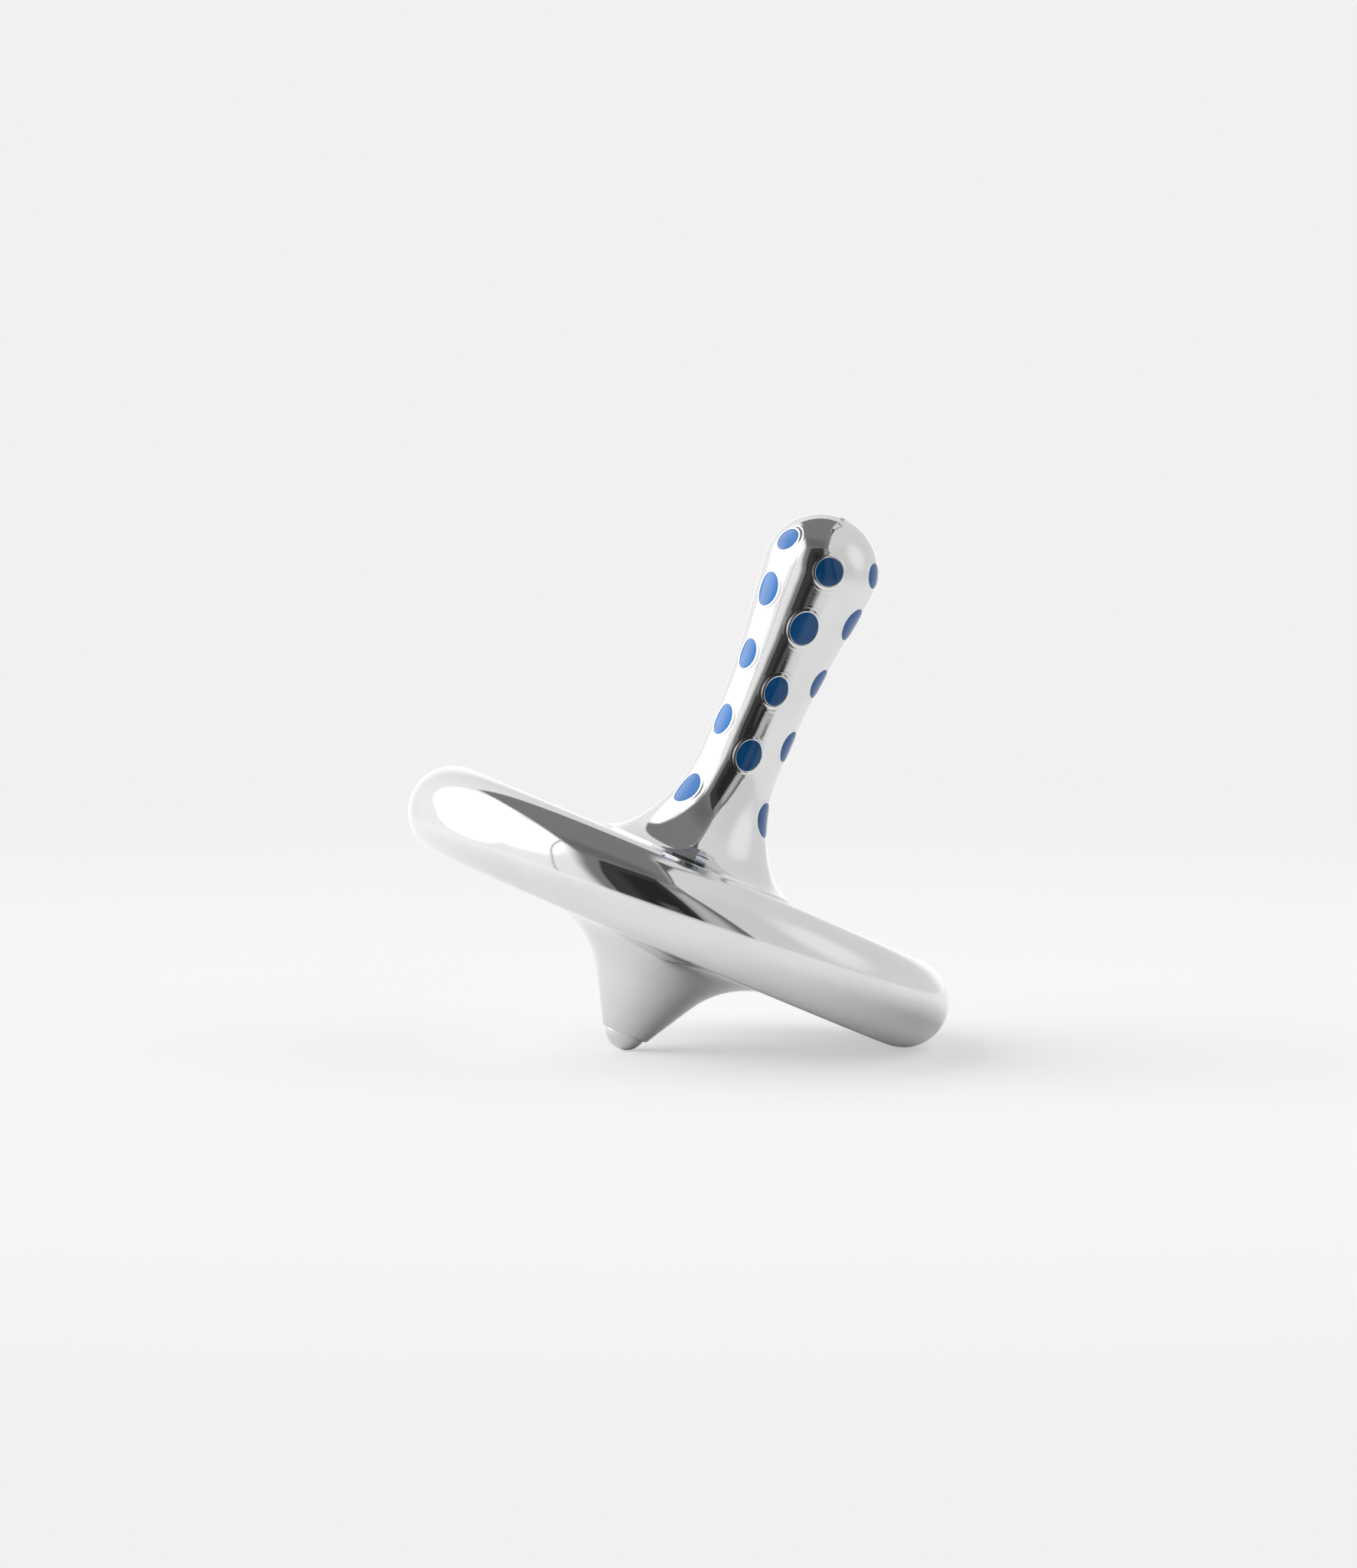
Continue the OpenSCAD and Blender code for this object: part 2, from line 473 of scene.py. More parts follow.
@dataclass(frozen=True)
class Enamel:
    """Clear blue enamel over the bright floor of its cell.

    The clouds in the glass and the grain of its skin have the scale and the detail of their noise.
    """

    name: str
    colour: Colour
    pale_colour: Colour
    roughness: Point
    ripple: float
    clouds: Point = (700.0, 3.0)
    cloud_span: Point = (0.3, 0.75)
    grain: Point = (1900.0, 2.0)
    edge_tint: Colour = (0.35, 0.55, 0.9)
    skin_roughness: float = 0.03
    skin_ior: float = 1.45

    def material(self) -> bpy.types.Material:
        """Builds the material, whose blue takes the direction of the cell's flat floor.

        Returns:
            Metal seen through cloudy blue glass, under a clear glossy skin that is slightly uneven.
        """
        made, nodes = new_material(self.name)
        place = nodes.add("ShaderNodeTexCoord").outputs["Object"]
        cloud = nodes.ease(nodes.noise(place, *self.clouds), *self.cloud_span)
        height = nodes.math("MULTIPLY", nodes.noise(place, *self.grain), self.ripple)
        bump = nodes.add("ShaderNodeBump", {"Height": height, "Distance": 1.0})
        floor = nodes.add("ShaderNodeAttribute", attribute_name=CELL_FLOOR)
        shader = nodes.add("ShaderNodeBsdfPrincipled", {
            "Base Color": nodes.blend_colour(cloud, (*self.colour, 1), (*self.pale_colour, 1)),
            "Metallic": 1.0,
            "Roughness": nodes.blend(cloud, *self.roughness),
            "Normal": floor.outputs["Vector"],
            "Specular Tint": (*self.edge_tint, 1),
            "Coat Weight": 1.0,
            "Coat Roughness": self.skin_roughness,
            "Coat IOR": self.skin_ior,
            "Coat Normal": bump.outputs[0],
        })
        nodes.add("ShaderNodeOutputMaterial", {"Surface": shader.outputs[0]})
        return made


# Turned pieces


class Slot(Enum):
    """Names of three material slots, which the pieces made here don't use."""

    METAL = "polished_metal"
    BALL = "ball_steel"
    ENAMEL = "blue_enamel"


def finish_piece(obj: bpy.types.Object, node: str, material: bpy.types.Material) -> None:
    """Dresses a piece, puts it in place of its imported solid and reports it.

    Args:
        obj: the piece.
        node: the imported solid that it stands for.
        material: the piece's finish.
    """
    obj.data.materials.clear()
    obj.data.materials.append(material)
    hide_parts(node)
    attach(obj, BODY)
    LOG.info("%s: %d faces", obj.name, len(obj.data.polygons))


class Turned:
    """A turned piece, made upright and laid over into its place."""

    step: ClassVar[float]
    sides: ClassVar[int]
    edge_angle: ClassVar[float] = 30.0

    def outline(self) -> Outline:
        """Draws the half section, which each piece does in its own way."""
        raise NotImplementedError

    def build(self, lean: Lean) -> bpy.types.Object:
        """Turns the piece and lays it in its place.

        Args:
            lean: how the upright piece is laid over.

        Returns:
            The piece in its place at rest.
        """
        piece = self.outline().turn(self.sides)
        smooth(piece, self.edge_angle)
        lean.lay(piece)
        return piece


@dataclass(frozen=True)
class Stud:
    """Steel stud on the axis, of which only the holes concern the pieces that show."""

    hole_r: float = 2.05 * MM
    up: float = 7.5 * MM
    down: float = 4.1 * MM

    def dress(self, metal: Metal) -> None:
        """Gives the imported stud, which keeps its shape, a finish."""
        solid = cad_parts["tie_stud"]
        solid.data.materials.clear()
        solid.data.materials.append(metal.material())
        LOG.info("tie_stud: packed solid with its own finish")


@dataclass(frozen=True)
class PivotBall(Turned):
    """Polished ball that the top spins on."""

    radius: float = 1.785 * MM
    fit: float = 0.01 * MM
    step: ClassVar[float] = 0.06 * MM
    sides: ClassVar[int] = 128

    def outline(self) -> Outline:
        """Draws the half circle from the contact point up."""
        outline = Outline("polished_pivot_ball", (0, -self.radius))
        outline.arc((0, 0), (self.radius, 0), self.step)
        return outline.arc((0, 0), (0, self.radius), self.step)


@dataclass(frozen=True)
class PivotCone(Turned):
    """Hollow-sided cone with a nose rolled in round the ball."""

    ball: PivotBall
    stud: Stud
    height: float = 8.05 * MM
    grip: float = 0.45 * MM
    flank_tilt: float = math.radians(30)
    blend_r: float = 7.8 * MM
    nose_r: float = 2 * MM
    nose_edge_r: float = 0.4 * MM
    nose_step: float = 0.03 * MM
    step: ClassVar[float] = 0.08 * MM
    sides: ClassVar[int] = 256

    @property
    def wheel_z(self) -> float:
        """Height of the wheel's underside."""
        return self.height - self.grip

    def outline(self) -> Outline:
        """Draws the ball's seat, the rolled nose, the hollow flank, the land and the stud's hole.

        Returns:
            The closed half section.
        """
        tilt = self.flank_tilt
        nose_z = -self.grip
        seat_r = self.ball.radius + self.ball.fit
        edge_r = self.nose_edge_r
        edge = (self.nose_r - edge_r * math.tan((math.pi / 2 - tilt) / 2), nose_z + edge_r)
        top_z = self.wheel_z - self.blend_r * (1 - math.sin(tilt))
        top = (self.nose_r + (top_z - nose_z) * math.tan(tilt), top_z)
        blend = (top[0] + self.blend_r * math.cos(tilt), self.wheel_z - self.blend_r)
        hole_z = self.wheel_z - self.stud.down
        outline = Outline("polished_pivot_cone", (0, seat_r))
        outline.arc((0, 0), (seat_r, 0), self.step)
        outline.arc((0, 0), (math.sqrt(seat_r ** 2 - nose_z ** 2), nose_z), self.step)
        outline.line((edge[0], nose_z), self.step)
        nose_end = (edge[0] + edge_r * math.cos(tilt), edge[1] - edge_r * math.sin(tilt))
        outline.arc(edge, nose_end, self.nose_step)
        outline.line(top, self.step)
        outline.arc(blend, (blend[0], self.wheel_z), self.step)
        outline.line((self.stud.hole_r, self.wheel_z), LONG_STEP)
        outline.line((self.stud.hole_r, hole_z), LONG_STEP)
        return outline.line((0, hole_z), LONG_STEP)


@dataclass(frozen=True)
class Wheel(Turned):
    """Solid flywheel with flat faces and a full-round rim."""

    stud: Stud
    underside_z: float
    radius: float = 25 * MM
    thickness: float = 7.8 * MM
    step: ClassVar[float] = 0.1 * MM
    sides: ClassVar[int] = 512

    @property
    def rim_r(self) -> float:
        """Radius of the rounded rim."""
        return self.thickness / 2

    @property
    def rim_centre_r(self) -> float:
        """Distance of the rounding's centre from the axis."""
        return self.radius - self.rim_r

    @property
    def top_z(self) -> float:
        """Height of the wheel's upper face."""
        return self.underside_z + self.thickness

    def outline(self) -> Outline:
        """Draws the underside, the full-round rim, the upper face and the bore.

        Returns:
            The closed half section.
        """
        middle = self.underside_z + self.rim_r
        outline = Outline("polished_wheel", (self.stud.hole_r, self.underside_z))
        outline.line((self.rim_centre_r, self.underside_z), LONG_STEP)
        outline.arc((self.rim_centre_r, middle), (self.radius, middle), self.step)
        outline.arc((self.rim_centre_r, middle), (self.rim_centre_r, self.top_z), self.step)
        outline.line((self.stud.hole_r, self.top_z), LONG_STEP)
        return outline.line((self.stud.hole_r, self.underside_z), LONG_STEP)


@dataclass(frozen=True)
class StemShape:
    """Outline of the stem: foot, flare, neck, long hollow, straight taper and ball head."""

    base_z: float
    stud: Stud
    head_r: float = 5 * MM
    head_h: float = 27.5 * MM
    neck_r: float = 3.6 * MM
    neck_h: float = 9.75 * MM
    neck_band: float = 2.5 * MM
    flare_r: float = 13 * MM
    foot_r: float = 5 * MM
    foot_edge_h: float = 0.25 * MM
    taper_l: float = 6.4 * MM
    foot_step_share: float = 0.3

    @property
    def neck_top(self) -> float:
        """Height of the neck's upper end."""
        return self.neck_h + self.neck_band

    @property
    def flare_centre(self) -> Vector:
        """Centre of the flare's arc."""
        return Vector((self.neck_r + self.flare_r, self.neck_h))

    @property
    def foot_centre(self) -> Vector:
        """Centre of the foot's arc, which runs out level onto the wheel."""
        reach = self.flare_r - self.foot_r
        rise = self.neck_h - self.foot_r
        return Vector((self.flare_centre.x - math.sqrt(reach ** 2 - rise ** 2), self.foot_r))

    @property
    def foot_to_flare(self) -> Vector:
        """Point where the foot's arc passes into the flare."""
        return self.foot_centre + self.foot_r * (self.foot_centre - self.flare_centre).normalized()

    @property
    def taper_r(self) -> float:
        """Radius of the long hollow that leaves the straight taper its length."""
        rise = self.head_h - self.neck_top
        squares = rise ** 2 + self.neck_r ** 2 - self.head_r ** 2 - self.taper_l ** 2
        return squares / (2 * (self.head_r - self.neck_r))

    @property
    def taper_centre(self) -> Vector:
        """Centre of the long hollow's arc."""
        return Vector((self.neck_r + self.taper_r, self.neck_top))

    @property
    def head_centre(self) -> Vector:
        """Centre of the ball head."""
        return Vector((0, self.head_h))

    @property
    def taper_normal(self) -> Vector:
        """Outward direction of the straight taper's surface."""
        across = self.taper_centre - self.head_centre
        tilt = math.atan2(across.y, across.x) + math.acos((self.taper_r + self.head_r) / across.length)
        return Vector((math.cos(tilt), math.sin(tilt)))

    @property
    def hollow_to_taper(self) -> Vector:
        """Point where the long hollow passes into the straight taper."""
        return self.taper_centre - self.taper_r * self.taper_normal

    @property
    def taper_to_head(self) -> Vector:
        """Point where the straight taper passes into the head."""
        return self.head_centre + self.head_r * self.taper_normal

    def surface(self, height: float) -> tuple[Vector, Vector]:
        """Finds the stem's surface at a height above the wheel.

        Args:
            height: the height above the wheel.

        Returns:
            The point of the outline, and its outward direction.
        """
        if height < self.foot_to_flare.y:
            return self.on_hollow(self.foot_centre, self.foot_r, height)
        if height < self.neck_h:
            return self.on_hollow(self.flare_centre, self.flare_r, height)
        if height < self.neck_top:
            return Vector((self.neck_r, height)), Vector((1, 0))
        if height < self.hollow_to_taper.y:
            return self.on_hollow(self.taper_centre, self.taper_r, height)
        if height < self.taper_to_head.y:
            normal = self.taper_normal
            drop = self.taper_to_head.y - height
            return Vector((self.taper_to_head.x + drop * normal.y / normal.x, height)), normal
        point = Vector((math.sqrt(self.head_r ** 2 - (height - self.head_h) ** 2), height))
        return point, (point - self.head_centre).normalized()

    @staticmethod
    def on_hollow(centre: Vector, radius: float, height: float) -> tuple[Vector, Vector]:
        """Finds the point at a height on a hollow arc, and its outward direction."""
        point = Vector((centre.x - math.sqrt(radius ** 2 - (height - centre.y) ** 2), height))
        return point, (centre - point).normalized()

    @property
    def foot_edge(self) -> Vector:
        """Point where the foot's arc ends on its thin upright edge."""
        return self.on_hollow(self.foot_centre, self.foot_r, self.foot_edge_h)[0]

    def lifted(self, point: Vector) -> Point:
        """Turns a height above the wheel into one above the ball's centre."""
        return point.x, point.y + self.base_z

    def draw(self, outline: Outline, step: float) -> Outline:
        """Draws the outer surface from the foot's edge to the crown.

        Args:
            outline: the outline so far, which ends at the foot's edge.
            step: the longest edge, of which the foot takes a share.

        Returns:
            The outline with the surface added.
        """
        at = self.lifted
        outline.arc(at(self.foot_centre), at(self.foot_to_flare), self.foot_step_share * step)
        outline.arc(at(self.flare_centre), at(Vector((self.neck_r, self.neck_h))), step)
        outline.line(at(Vector((self.neck_r, self.neck_top))), step)
        outline.arc(at(self.taper_centre), at(self.hollow_to_taper), step)
        outline.line(at(self.taper_to_head), step)
        outline.arc(at(self.head_centre), at(self.head_centre + Vector((self.head_r, 0))), step)
        return outline.arc(at(self.head_centre), at(self.head_centre + Vector((0, self.head_r))), step)

    def solid(self, name: str, step: float, steps: int) -> bpy.types.Object:
        """Turns the whole stem, with the stud's hole and without cells.

        Args:
            name: the piece's name.
            step: the longest edge along the outline.
            steps: the number of faces round the stem.

        Returns:
            The stem, upright.
        """
        outline = Outline(name, (0, self.base_z + self.stud.up))
        outline.line((self.stud.hole_r, self.base_z + self.stud.up), LONG_STEP)
        outline.line((self.stud.hole_r, self.base_z), LONG_STEP)
        outline.line((self.foot_edge.x, self.base_z), LONG_STEP)
        outline.line(self.lifted(self.foot_edge), step)
        return self.draw(outline, step).turn(steps)

    def gauge(self, step: float, steps: int, sweep: float) -> bpy.types.Object:
        """Turns a very fine strip of the stem's surface that dots are fitted to.

        Args:
            step: the longest edge along the outline.
            steps: the number of faces across the strip.
            sweep: the strip's width, in radians, evenly about the X axis.

        Returns:
            The strip, upright.
        """
        outline = Outline("stem_gauge", self.lifted(self.foot_edge))
        strip = self.draw(outline, step).turn(steps, sweep)
        middle = sum((vertex.co.normalized() for vertex in strip.data.vertices), Vector())
        strip.rotation_euler.z = -math.atan2(middle.y, middle.x)
        apply_place(strip)
        return strip


@dataclass(frozen=True)
class DotPattern:
    """Columns of dots round the stem, short and full columns in turn.

    Each dot has shares of the head's height and of the dots' width and length.
    """

    head_h: float
    full_columns: int = 3
    first_turn: float = math.radians(25.2)
    width: float = 2.4 * MM
    length: float = 3 * MM
    short_shares: tuple = ((0.379, 0.88, 0.93), (0.597, 0.80, 0.87), (0.811, 0.98, 0.98),
                           (1.004, 0.98, 0.84))
    full_shares: tuple = ((0.212, 1.02, 1.00), (0.453, 0.86, 0.94), (0.672, 0.86, 0.90),
                          (0.883, 1.02, 1.01), (1.051, 0.96, 0.73))

    def dots(self) -> list[Dot]:
        """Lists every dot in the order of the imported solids."""
        found = []
        for column in range(2 * self.full_columns):
            shares = self.full_shares if column % 2 else self.short_shares
            angle = self.first_turn + column * math.pi / self.full_columns
            for height, width, length in shares:
                found.append(Dot(len(found) + 1, angle, self.head_h * height, self.width * width,
                                 self.length * length))
        return found


@dataclass(frozen=True)
class DotFitter:
    """Makes the cells' cutters, their lips and the enamel, each shape once for all columns."""

    shape: StemShape
    sides: int = 72
    cell_depth: float = 0.5 * MM
    lip_w: float = 0.27 * MM
    lip_h: float = 0.032 * MM
    enamel_h: float = 0.022 * MM
    cell_fit: float = 0.01 * MM
    plug_share: float = 3.0
    sink_share: float = 0.3

    # Rings of the enamel's face: their spacing as a share of the lip's width, and the shares of the
    # half width at which they stop and past which none is kept
    ring_share: float = 0.6
    stop_share: float = 0.85
    last_share: float = 0.9

    # Section of a lip from its outer edge to the cell's wall: a low swell, a fine groove and the
    # rounded lip, as shares of the lip's width and height
    lip_section: tuple = ((2.6, -0.1), (2.3, 0.0), (2.0, 0.08), (1.75, 0.14), (1.55, 0.14),
                          (1.4, 0.09), (1.28, 0.07), (1.17, 0.11), (1.05, 0.24), (0.90, 0.48),
                          (0.76, 0.70), (0.61, 0.89), (0.46, 0.98), (0.32, 1.0), (0.20, 0.90),
                          (0.10, 0.70), (0.03, 0.42))

    # Section of the enamel from its edge inwards, as shares of the lip's width and the enamel's height
    enamel_section: tuple = ((0.0, 0.2), (0.12, 0.55), (0.3, 0.8), (0.6, 0.95), (1.0, 1.0))

    def at_column(self, dot: Dot) -> Matrix:
        """Works out the place of a dot on a column at angle zero.

        Args:
            dot: the dot.

        Returns:
            The place, with X down along the stem and Z outwards.
        """
        point, normal = self.shape.surface(dot.height)
        place = Matrix.Translation((point.x, 0, self.shape.base_z + dot.height))
        return place @ Matrix.Rotation(math.atan2(normal.x, normal.y), 4, "Y")

    @staticmethod
    def radii(dot: Dot, margin: float) -> Point:
        """Half length and half width of a dot's oval that stands this far outside the cell's wall."""
        return dot.length / 2 + margin, dot.width / 2 + margin

    def oval(self, name: str, dot: Dot, margin: float) -> bpy.types.Object:
        """Draws a dot's oval, flat on the XY plane.

        Args:
            name: the name of the new object.
            dot: the dot.
            margin: how far the oval stands outside the cell's wall.

        Returns:
            The object, in edit mode, with the whole oval selected.
        """
        clear_selection()
        bpy.ops.mesh.primitive_circle_add(vertices=self.sides, radius=MM)
        obj = name_active(name)
        set_mode(Mode.EDIT)
        bpy.ops.mesh.select_mode(type="EDGE")
        bpy.ops.mesh.select_all(action="SELECT")
        along, across = self.radii(dot, margin)
        bpy.ops.transform.resize(value=(along / MM, across / MM, 1))
        return obj

    def widen(self, dot: Dot, margins: list[float]) -> None:
        """Extrudes the selected oval flat, from the first margin on through the others.

        Args:
            dot: the dot whose oval it is.
            margins: how far each ring stands outside the cell's wall.
        """
        for old, new in zip(margins, margins[1:]):
            before, after = self.radii(dot, old), self.radii(dot, new)
            bpy.ops.mesh.extrude_edges_move()
            bpy.ops.transform.resize(value=(after[0] / before[0], after[1] / before[1], 1))

    def drape(self, obj: bpy.types.Object, dot: Dot, gauge: bpy.types.Object, heights: list[float]) -> None:
        """Lays flat rings onto the stem's surface and raises each ring to its own height.

        Args:
            obj: the rings, in object mode, drawn about the origin from the first ring on.
            dot: the dot whose place they take.
            gauge: the strip of the stem's surface.
            heights: the height of each ring over the surface.
        """
        obj.matrix_world = self.at_column(dot)
        apply_modifier(obj, "SHRINKWRAP", wrap_method="PROJECT", target=gauge, use_project_z=True,
                       use_positive_direction=True, use_negative_direction=True)
        low, high = min(heights), max(heights)
        group = obj.vertex_groups.new(name="height")
        ring_of = [min(index // self.sides, len(heights) - 1) for index in range(len(obj.data.vertices))]
        for index, ring in enumerate(ring_of):
            group.add([index], (heights[ring] - low) / (high - low), "REPLACE")
        apply_modifier(obj, "DISPLACE", direction="NORMAL", mid_level=0.0, strength=low)
        apply_modifier(obj, "DISPLACE", direction="NORMAL", mid_level=0.0, strength=high - low,
                       vertex_group="height")
        obj.vertex_groups.clear()

    def ring_edges(self, obj: bpy.types.Object, ring: int) -> None:
        """Selects the closed chain of edges of one ring, in edit mode.

        Args:
            obj: the rings, drawn one after another.
            ring: the ring's number.
        """
        set_mode(Mode.OBJECT)
        first, last = ring * self.sides, (ring + 1) * self.sides
        for vertex in obj.data.vertices:
            vertex.select = first <= vertex.index < last
        for edge in obj.data.edges:
            edge.select = all(first <= index < last for index in edge.vertices)
        for face in obj.data.polygons:
            face.select = False
        set_mode(Mode.EDIT)
        bpy.ops.mesh.select_mode(type="EDGE")

    def cutter(self, dot: Dot) -> bpy.types.Object:
        """Makes the oval plug that cuts a dot's cell, at angle zero.

        Args:
            dot: the dot.

        Returns:
            The plug, which reaches from the cell's floor well out of the stem.
        """
        plug = self.oval(f"cutter_{dot.number}", dot, 0)
        bpy.ops.transform.translate(value=(0, 0, -self.cell_depth))
        bpy.ops.mesh.edge_face_add()
        reach = (0, 0, self.plug_share * self.cell_depth)
        bpy.ops.mesh.extrude_region_move(TRANSFORM_OT_translate={"value": reach})
        face_outwards()
        plug.matrix_world = self.at_column(dot)
        apply_place(plug)
        return plug

    def lip(self, dot: Dot, gauge: bpy.types.Object) -> bpy.types.Object:
        """Makes the raised, rounded lip round a dot's cell, at angle zero.

        Args:
            dot: the dot.
            gauge: the strip of the stem's surface.

        Returns:
            The lip, as a closed ring that is sunk a little into the stem.
        """
        margins = [width * self.lip_w for width, _ in self.lip_section]
        ring = self.oval(f"lip_{dot.number}", dot, margins[0])
        self.widen(dot, margins)
        set_mode(Mode.OBJECT)
        self.drape(ring, dot, gauge, [height * self.lip_h for _, height in self.lip_section])
        sink = (0, 0, -self.sink_share * self.cell_depth)
        rings = len(self.lip_section)
        for chain in (0, rings - 1):
            self.ring_edges(ring, chain)
            bpy.ops.mesh.extrude_edges_move(TRANSFORM_OT_translate={
                "value": sink, "orient_type": "LOCAL"})
        self.ring_edges(ring, rings)
        set_mode(Mode.OBJECT)
        for edge in ring.data.edges:
            lowest = min(edge.vertices) // self.sides
            highest = max(edge.vertices) // self.sides
            edge.select = edge.select or lowest == highest == rings + 1
        set_mode(Mode.EDIT)
        bpy.ops.mesh.bridge_edge_loops()
        face_outwards()
        apply_place(ring)
        return ring

    def fill(self, dot: Dot, gauge: bpy.types.Object) -> bpy.types.Object:
        """Makes the enamel of a dot, rounded at its edge and closed below, at angle zero.

        Args:
            dot: the dot.
            gauge: the strip of the stem's surface.

        Returns:
            The enamel, from its face down to the cell's floor.
        """
        half_width = dot.width / 2
        margins = [-self.cell_fit - share * self.lip_w for share, _ in self.enamel_section]
        heights = [share * self.enamel_h for _, share in self.enamel_section]
        while margins[-1] > -self.stop_share * half_width:
            margins.append(margins[-1] - self.ring_share * self.lip_w)
            heights.append(self.enamel_h)
        margins = [margin for margin in margins if margin > -self.last_share * half_width]
        heights = heights[:len(margins)]
        drop = self.oval(f"enamel_{dot.number}", dot, margins[0])
        self.widen(dot, margins)
        bpy.ops.mesh.extrude_edges_move()
        bpy.ops.mesh.merge(type="CENTER")
        set_mode(Mode.OBJECT)
        self.drape(drop, dot, gauge, heights)
        self.ring_edges(drop, 0)
        bpy.ops.mesh.extrude_edges_move()
        bpy.ops.mesh.edge_face_add()
        set_mode(Mode.OBJECT)
        for vertex in drop.data.vertices:
            if vertex.select:
                vertex.co.z = -self.cell_depth
        set_mode(Mode.EDIT)
        face_outwards()
        apply_place(drop)
        return drop


@dataclass(frozen=True)
class Stem:
    """Handle with its lipped cells, and the enamel in them."""

    shape: StemShape
    pattern: DotPattern
    fitter: DotFitter
    step: float = 0.19 * MM
    sides: int = 216
    gauge_step: float = 0.05 * MM
    gauge_sides: int = 320
    gauge_sweep: float = math.radians(80)
    stem_edge_angle: float = 35.0
    enamel_edge_angle: float = 50.0

    @staticmethod
    def placed(obj: bpy.types.Object, dot: Dot, name: str) -> bpy.types.Object:
        """Copies a piece made at angle zero and turns the copy into a column.

        Args:
            obj: the piece.
            dot: the dot whose column it goes to.
            name: the copy's name.

        Returns:
            The copy in its place.
        """
        copy = copy_of(obj, name)
        copy.rotation_euler.z = dot.column_angle
        apply_place(copy)
        return copy

    def build(self, lean: Lean) -> tuple[bpy.types.Object, dict[str, bpy.types.Object]]:
        """Turns the stem, cuts its cells, adds their lips and makes the enamel.

        Args:
            lean: how the upright pieces are laid over.

        Returns:
            The stem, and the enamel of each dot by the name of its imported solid.
        """
        dots = self.pattern.dots()
        gauge = self.shape.gauge(self.gauge_step, self.gauge_sides, self.gauge_sweep)
        makers = self.fitter
        models = {}
        for dot in dots:
            if dot.height not in models:
                models[dot.height] = (makers.cutter(dot), makers.lip(dot, gauge), makers.fill(dot, gauge))
        remove(gauge)
        cutters, lips, fills = [], [], {}
        for dot in dots:
            cutter, lip, fill = models[dot.height]
            cutters.append(self.placed(cutter, dot, f"cell_{dot.number}"))
            lips.append(self.placed(lip, dot, f"lip_of_{dot.number}"))
            fills[dot.node] = self.placed(fill, dot, f"glossy_{dot.node}")
        for model in models.values():
            for obj in model:
                remove(obj)
        stem = self.shape.solid("polished_stem", self.step, self.sides)
        plugs = join(cutters, "cell_cutters")
        apply_modifier(stem, "BOOLEAN", operation="DIFFERENCE", solver="EXACT", object=plugs)
        remove(plugs)
        stem = join([stem, *lips], "polished_stem")
        smooth(stem, self.stem_edge_angle)
        lean.lay(stem)
        for dot in dots:
            smooth(fills[dot.node], self.enamel_edge_angle)
            lean.lay(fills[dot.node])
            self.note_cell_floor(fills[dot.node], dot, lean)
        return stem, fills

    def note_cell_floor(self, fill: bpy.types.Object, dot: Dot, lean: Lean) -> None:
        """Keeps the direction that a cell's flat floor faces as an attribute of its enamel.

        Args:
            fill: the enamel, in its place.
            dot: the dot.
            lean: how the upright pieces are laid over.
        """
        _, normal = self.shape.surface(dot.height)
        in_column = Matrix.Rotation(dot.column_angle, 3, "Z") @ Vector((normal.x, 0, normal.y))
        facing = lean.matrix.to_3x3() @ in_column
        attribute = fill.data.attributes.new(CELL_FLOOR, "FLOAT_VECTOR", "POINT")
        for point in attribute.data:
            point.vector = facing


# Studio


@dataclass(frozen=True)
class Camera:
    """Camera at the photograph's viewing angle."""

    distance: float = 0.95
    azimuth: float = math.radians(-12.38)
    elevation: float = math.radians(4.99)
    target: Point = (0.008, 0.022)
    focal_share: float = 14386 / 2048
    shift: Point = (-0.0246, 0.0064)
    sensor: float = 36.0

    @property
    def back(self) -> Vector:
        """Direction from the target to the camera."""
        level = math.cos(self.elevation)
        return Vector((math.sin(self.azimuth) * level, -math.cos(self.azimuth) * level,
                       math.sin(self.elevation)))

    @property
    def right(self) -> Vector:
        """Direction to the right of the picture."""
        return Vector((math.cos(self.azimuth), math.sin(self.azimuth), 0))

    def build(self) -> None:
        """Adds the camera and makes it the scene's."""
        up = self.back.cross(self.right)
        turn = Matrix((self.right, up, self.back)).transposed()
        place = Vector((self.target[0], 0, self.target[1])) + self.distance * self.back
        bpy.ops.object.camera_add(location=place, rotation=turn.to_euler())
        camera = bpy.context.view_layer.objects.active
        camera.data.sensor_width = self.sensor
        camera.data.lens = self.focal_share * self.sensor
        camera.data.shift_x, camera.data.shift_y = self.shift
        bpy.context.scene.camera = camera


@dataclass(frozen=True)
class Panel:
    """A flat sheet or gap of the light tent, as corners in azimuth and elevation."""

    corners: tuple[Point, ...]
    level: float
    softness: float


@dataclass(frozen=True)
class Seam:
    """A narrow fold or gap of the light tent, as points with azimuth, elevation and half width."""

    path: tuple[tuple[float, float, float], ...]
    level: float
    softness: float


@dataclass(frozen=True)
class Glow:
    """A round bright part of the light tent, full inside one angle from its centre and gone at another."""

    centre: Point
    inner: float
    outer: float
    level: float


